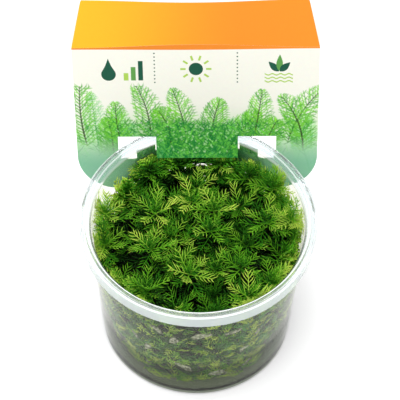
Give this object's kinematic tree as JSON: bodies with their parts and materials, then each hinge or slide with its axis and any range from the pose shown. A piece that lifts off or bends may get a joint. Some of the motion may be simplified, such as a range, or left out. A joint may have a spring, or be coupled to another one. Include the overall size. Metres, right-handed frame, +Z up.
{
  "type": "aquarium plant in an in-vitro cup",
  "caption": "Feathery-leaved milfoil shoots rooted in gel inside a clear lidless culture cup, with a blank-headed label card hooked over the cup's rim.",
  "frame": {"origin": "centre of the cup's flat underside, where it stands", "axes": "+Z up along the cup's axis, -Y to the front, +Y to the back where the label card stands, +X to the right seen from the front"},
  "size_m": [0.106, 0.1201, 0.1548],
  "materials": {
    "clear_plastic": "clear moulded polypropylene, glossy, slightly milky",
    "gel": "smoky grey translucent agar gel, wet",
    "card": "printed coated card, satin",
    "plant": "soft thin green leaves, slightly translucent"
  },
  "bodies": {
    "root": {"cup": "clear_plastic", "nutrient_gel": "gel", "label_card": "card", "shoot_01": "plant", "shoot_02": "plant", "shoot_03": "plant", "shoot_04": "plant", "shoot_05": "plant", "shoot_06": "plant", "shoot_07": "plant", "shoot_08": "plant", "shoot_09": "plant", "shoot_10": "plant", "shoot_11": "plant", "shoot_12": "plant", "shoot_13": "plant", "shoot_14": "plant", "shoot_15": "plant", "shoot_16": "plant", "shoot_17": "plant", "shoot_18": "plant", "shoot_19": "plant", "shoot_20": "plant", "shoot_21": "plant", "shoot_22": "plant", "shoot_23": "plant", "shoot_24": "plant", "shoot_25": "plant", "shoot_26": "plant", "shoot_27": "plant", "shoot_28": "plant", "shoot_29": "plant", "shoot_30": "plant", "shoot_31": "plant", "shoot_32": "plant", "shoot_33": "plant", "shoot_34": "plant", "shoot_35": "plant", "shoot_36": "plant", "shoot_37": "plant", "shoot_38": "plant", "shoot_39": "plant", "shoot_40": "plant"}
  },
  "joints": []
}
